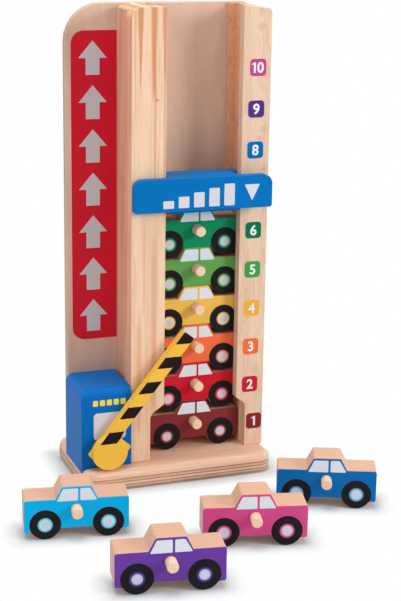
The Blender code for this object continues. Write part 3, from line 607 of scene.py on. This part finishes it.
for index, colour in enumerate(labels["colours"]):
    x = labels["ends"].get(index, labels["x"])
    z = labels["first"] + index * labels["pitch"]
    number = f"{index + 1:02d}"
    halfWide, halfHigh = labels["width"] / 2, labels["height"] / 2
    square = {"corners": boxCorners(-halfWide, -halfHigh, halfWide, halfHigh), "round": labels["round"]}
    film("label_" + number, [square], at(x, labels["front"], z), "garage", paint("labelPaint" + number, colour))
    if index in labels["ends"]:
        # the flagged 1, alone on the first square and ahead of the 0 on the last
        shift = labels["oneShift"] if index else 0.0
        one = {"corners": [(shift + dx, dz) for dx, dz in labels["one"]], "round": labels["oneRound"]}
        film("digit_" + number, [one], at(x, labels["front"] - labels["oneLift"], z), "garage", digitWhite)
        number += "_round"
        x += labels["zeroShift"]
    if index:
        digitPiece("digit_" + number, str(index + 1)[-1], at(x, labels["front"] - labels["digitLift"], z))
print("numbered squares made")


car = {
    "left": -0.0175, "face": -0.0143, "stand": 0.0173, "storey": 0.03375, "length": 0.0805, "depth": 0.0258,
    "shifts": (-0.0005, 0.0004, 0.0004, 0.0004, 0.0006, 0.0004),
    "wheels": (0.0161, 0.0646), "wheelHeight": 0.0120, "discThick": 0.0004,
    "tyre": 0.0116, "tyreEdge": 0.01215, "tyreProud": 0.00010, "tyreColour": (34, 30, 32),
    "ring": 0.0060, "ringEdge": 0.0009, "ringEdgeDepth": 0.85, "ringProud": 0.00018,
    "hub": 0.0042, "hubRim": 0.0014, "hubRimDepth": 0.9, "hubRimTint": 0.45, "hubProud": 0.00026,
    "hubColour": (208, 209, 218), "hubDeeper": 0.95,
    "windows": (
        ((0.0251, 0.0307), (0.0413, 0.0307), (0.0413, 0.0406), (0.0299, 0.0406)),
        ((0.0430, 0.0308), (0.0559, 0.0308), (0.0504, 0.0406), (0.0430, 0.0406)),
    ),
    "windowRound": 0.0009, "deeper": 0.9, "paintDepth": 0.00055, "ragged": 0.0003, "gloss": 0.1,
    "paintRoughness": (0.34, 0.44), "woodRoughness": (0.4, 0.55), "heartStep": 0.013,
}
carWood = {
    **beech, "light": (222, 182, 156), "dark": (198, 148, 118), "warm": (211, 166, 141),
    "axis": 0, "rings": 60.0, "ringDepth": 0.3, "heart": (0.0, 0.05, 0.04),
}
# each car's paint, and the tone of the ring round its hubs
carPaints = {
    "car_01": ((134, 48, 52), (150, 58, 68)), "car_02": ((208, 26, 48), (232, 56, 96)),
    "car_03": ((250, 114, 68), (246, 140, 118)), "car_04": ((244, 194, 88), (240, 196, 120)),
    "car_05": ((102, 166, 80), (96, 170, 92)), "car_06": ((0, 142, 90), (30, 146, 108)),
    "loose_car_cyan": ((0, 178, 236), (116, 208, 240)), "loose_car_blue": ((0, 106, 176), (104, 176, 226)),
    "loose_car_purple": ((108, 60, 160), (84, 62, 158)), "loose_car_magenta": ((212, 74, 138), (216, 92, 156)),
}
# the lower left corner of each loose car's face, and its turn in degrees
looseCars = {
    "loose_car_cyan": (-0.1513, -0.1195, -9.9), "loose_car_purple": (-0.1123, -0.2297, -9.3),
    "loose_car_magenta": (-0.0264, -0.1743, -13.8), "loose_car_blue": (0.0571, -0.1184, -22.4),
}
tyreBlack = paint("tyreBlack", car["tyreColour"], (27, 24, 26))
glassWhite = paint("windowGrey", (222, 228, 236), (212, 220, 230))


def carFrame(board, place):
    # the car's own length, depth and height as shader values
    local = []
    for axis in range(3):
        direction = place.col[axis].to_3d()
        along = board.vector("DOT_PRODUCT", board.place, direction)
        local.append(board.maths("SUBTRACT", along, direction.dot(place.to_translation())))
    return local


def wheelDistance(board, local):
    # how far a point of the face lies from the nearer wheel's middle
    flat = board.point(local[0], 0.0, local[2])
    return board.maths("MINIMUM", *(
        board.vector("DISTANCE", flat, (wheel, 0.0, car["wheelHeight"])) for wheel in car["wheels"]
    ))


def carMaterial(name, colour, place, heart):
    # painted face over bare wood: the paint ends a little behind the face plane
    board = Board(name)
    local = carFrame(board, place)
    wheels = wheelDistance(board, local)
    board.place = board.point(*local)
    bare, fibres = woodColour(board, {**carWood, "heart": heart})
    tint, grain = paintParts(board, colour, darker(colour, car["deeper"]))
    tint = board.mix(board.maths("LESS_THAN", wheels, car["tyreEdge"]), tint, rgb(*car["tyreColour"]))
    edge = board.maths("MULTIPLY_ADD", grain, car["ragged"], car["paintDepth"] - car["ragged"] / 2)
    painted = board.maths("LESS_THAN", local[1], edge)
    rough = board.mix(
        painted, board.spread(fibres, *car["woodRoughness"]), board.spread(grain, *car["paintRoughness"])
    )
    return board.finish(board.mix(painted, bare, tint), rough, car["gloss"])


def discMaterial(name, colours, rimColour, place, rim):
    # a paint that runs softly into the colour of its rim, between the rim's two radii
    board = Board(name)
    reach = wheelDistance(board, carFrame(board, place))
    tint, grain = paintParts(board, *colours)
    return paintFinish(board, board.mix(board.span(reach, *rim), tint, rgb(*rimColour)), grain)


def ringMaterial(name, colour, place):
    rim = (car["ring"] - car["ringEdge"], car["ring"], 0.0, car["ringEdgeDepth"])
    return discMaterial(name, (colour, darker(colour, car["deeper"])), car["tyreColour"], place, rim)


def hubMaterial(name, colour, place):
    # the pale rim takes a little of the ring's colour
    rim = (car["hub"] - car["hubRim"], car["hub"], 0.0, car["hubRimDepth"])
    pale = tuple(car["hubRimTint"] * part + (1 - car["hubRimTint"]) * 255 for part in colour)
    return discMaterial(name, (car["hubColour"], darker(car["hubColour"], car["hubDeeper"])), pale, place, rim)


for order, (name, (colour, ringColour)) in enumerate(carPaints.items()):
    if name in looseCars:
        x, y, degrees = looseCars[name]
        place = at(x, y, 0.0) @ Matrix.Rotation(math.radians(degrees), 4, "Z")
    else:
        place = at(car["left"] + car["shifts"][order], car["face"], car["stand"] + order * car["storey"])
    across, deep, up = carWood["heart"]
    heart = (across, deep + order * car["heartStep"], up)
    dress(name + "_body", carMaterial(name + "Wood", colour, place, heart))
    dress(name + "_peg", pegWood)
    panes = [{"corners": corners, "round": car["windowRound"]} for corners in car["windows"]]
    film(name + "_windows", panes, place, name, glassWhite)
    for part, material in (
        ("tyre", tyreBlack), ("ring", ringMaterial(name + "Ring", ringColour, place)),
        ("hub", hubMaterial(name + "Hub", ringColour, place)),
    ):
        discs = [{"centre": (wheel, car["wheelHeight"]), "radius": car[part]} for wheel in car["wheels"]]
        film(f"{name}_{part}s", discs, place, name, material, car["discThick"], car[part + "Proud"])
print("cars painted")


stage = {
    "floorSize": 12.0, "floorDrop": 0.0002, "floorAndShadeLight": (216, 221, 225), "floorAndShadeDark": (212, 217, 221),
    "floorScale": 3.0, "floorRoughness": 0.9, "baseHalf": (0.0830, 0.0483), "glowPastShadeRing": (0.002, 0.017), "world": 0.52,
    "lamps": {
        "keyLight": {"power": 21.0, "place": (1.45, -1.45, 0.90), "target": (0.0, -0.05, 0.17), "size": 0.6},
        "topLight": {"power": 16.0, "place": (-0.15, -0.10, 1.75), "target": (0.0, -0.05, 0.10), "size": 0.9},
        "fillLight": {"power": 5.0, "place": (-1.60, -0.90, 0.90), "target": (0.0, -0.05, 0.15), "size": 1.2},
    },
}
white = (1.0, 1.0, 1.0, 1.0)
bpy.ops.mesh.primitive_plane_add(size=stage["floorSize"], location=(0.0, 0.0, -stage["floorDrop"]))
floor = bpy.context.object
floor.name = "floor"
# grey-blue floor paint: the camera sees it only close to the footprints, where it makes a painted shade ring
board = Board("floorWhiteAndShadeRing")
tone = board.noise(board.place, stage["floorScale"], detail=2.0, roughness=0.5)
floorAndShadeTint = board.mix(tone, rgb(*stage["floorAndShadeLight"]), rgb(*stage["floorAndShadeDark"]))
floor.data.materials.append(board.finish(floorAndShadeTint, stage["floorRoughness"]))
# the floor shows plain white for the camera away from the base and the loose cars; close to their footprints its grey
# paint shows through as a painted shade ring round them, together with their real shadows
standing = [((0.0, 0.0), 0.0, stage["baseHalf"])]
for x, y, degrees in looseCars.values():
    half = Vector((car["length"] / 2, car["depth"] / 2))
    turn = math.radians(degrees)
    standing.append((Vector((x, y)) + Matrix.Rotation(turn, 2) @ half, turn, half))
away = None
for (x, y), turn, half in standing:
    beyond = board.moved(turn=(0.0, 0.0, -turn), source=board.moved(shift=(-x, -y, 0.0)))
    beyond = board.vector("SUBTRACT", board.vector("ABSOLUTE", beyond), (*half, 0.0))
    reach = board.vector("LENGTH", board.vector("MAXIMUM", beyond))
    away = reach if away is None else board.maths("MINIMUM", away, reach)
seen = board.add("ShaderNodeLightPath").outputs["Is Camera Ray"]
glow = board.add("ShaderNodeEmission")
glow.inputs["Color"].default_value = white
blended = board.add("ShaderNodeMixShader")
for source, target in (
    (board.maths("MULTIPLY", seen, board.span(away, *stage["glowPastShadeRing"])), blended.inputs[0]),
    (board.shader.outputs[0], blended.inputs[1]), (glow.outputs[0], blended.inputs[2]),
    (blended.outputs[0], board.tree.nodes["Material Output"].inputs["Surface"]),
):
    board.join(source, target)
floor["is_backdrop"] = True

world = bpy.data.worlds.new("paleRoom")
bpy.context.scene.world = world
world.use_nodes = True
wires = world.node_tree
background = wires.nodes["Background"]
background.inputs["Color"].default_value = white
rays = wires.nodes.new("ShaderNodeLightPath")
level = wires.nodes.new("ShaderNodeMapRange")
level.inputs["To Min"].default_value = stage["world"]
level.inputs["To Max"].default_value = 1.0
seen = rays.outputs["Is Camera Ray"]
for ray in ("Is Glossy Ray", "Is Transmission Ray"):
    either = wires.nodes.new("ShaderNodeMath")
    either.operation = "MAXIMUM"
    wires.links.new(seen, either.inputs[0])
    wires.links.new(rays.outputs[ray], either.inputs[1])
    seen = either.outputs[0]
wires.links.new(seen, level.inputs["Value"])
wires.links.new(level.outputs[0], background.inputs["Strength"])

for name, values in stage["lamps"].items():
    light = bpy.data.lights.new(name, "AREA")
    light.energy = values["power"]
    light.size = values["size"]
    lamp = bpy.data.objects.new(name, light)
    bpy.context.scene.collection.objects.link(lamp)
    lamp.location = values["place"]
    aim = Vector(values["target"]) - Vector(values["place"])
    lamp.rotation_euler = aim.to_track_quat("-Z", "Y").to_euler()

view = {
    "focal": 1486.409, "wide": 401, "tall": 601, "centre": (226.198, 284.821), "sensor": 36.0,
    "place": (-0.384363, -1.149260, 0.484551), "yaw": 0.3653999, "pitch": 0.2610207, "roll": 0.0196439,
}
facing = Vector((math.sin(view["yaw"]), math.cos(view["yaw"]), 0.0))
ahead = facing * math.cos(view["pitch"]) - Vector((0.0, 0.0, math.sin(view["pitch"])))
across = Vector((math.cos(view["yaw"]), -math.sin(view["yaw"]), 0.0))
upward = across.cross(ahead)
camRight = across * math.cos(view["roll"]) + upward * math.sin(view["roll"])
camUp = upward * math.cos(view["roll"]) - across * math.sin(view["roll"])
camera = bpy.data.objects.new("camera", bpy.data.cameras.new("camera"))
bpy.context.scene.collection.objects.link(camera)
camera.matrix_world = Matrix((
    (camRight.x, camUp.x, -ahead.x, view["place"][0]),
    (camRight.y, camUp.y, -ahead.y, view["place"][1]),
    (camRight.z, camUp.z, -ahead.z, view["place"][2]),
    (0.0, 0.0, 0.0, 1.0),
))
camera.data.sensor_width = view["sensor"]
camera.data.lens = view["focal"] * view["sensor"] / view["tall"]
camera.data.shift_x = -(view["centre"][0] - view["wide"] / 2) / view["tall"]
camera.data.shift_y = (view["centre"][1] - view["tall"] / 2) / view["tall"]
bpy.context.scene.camera = camera
bpy.context.scene.view_settings.view_transform = "Standard"
print("stage ready")

bpy.context.view_layer.update()
low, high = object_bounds()
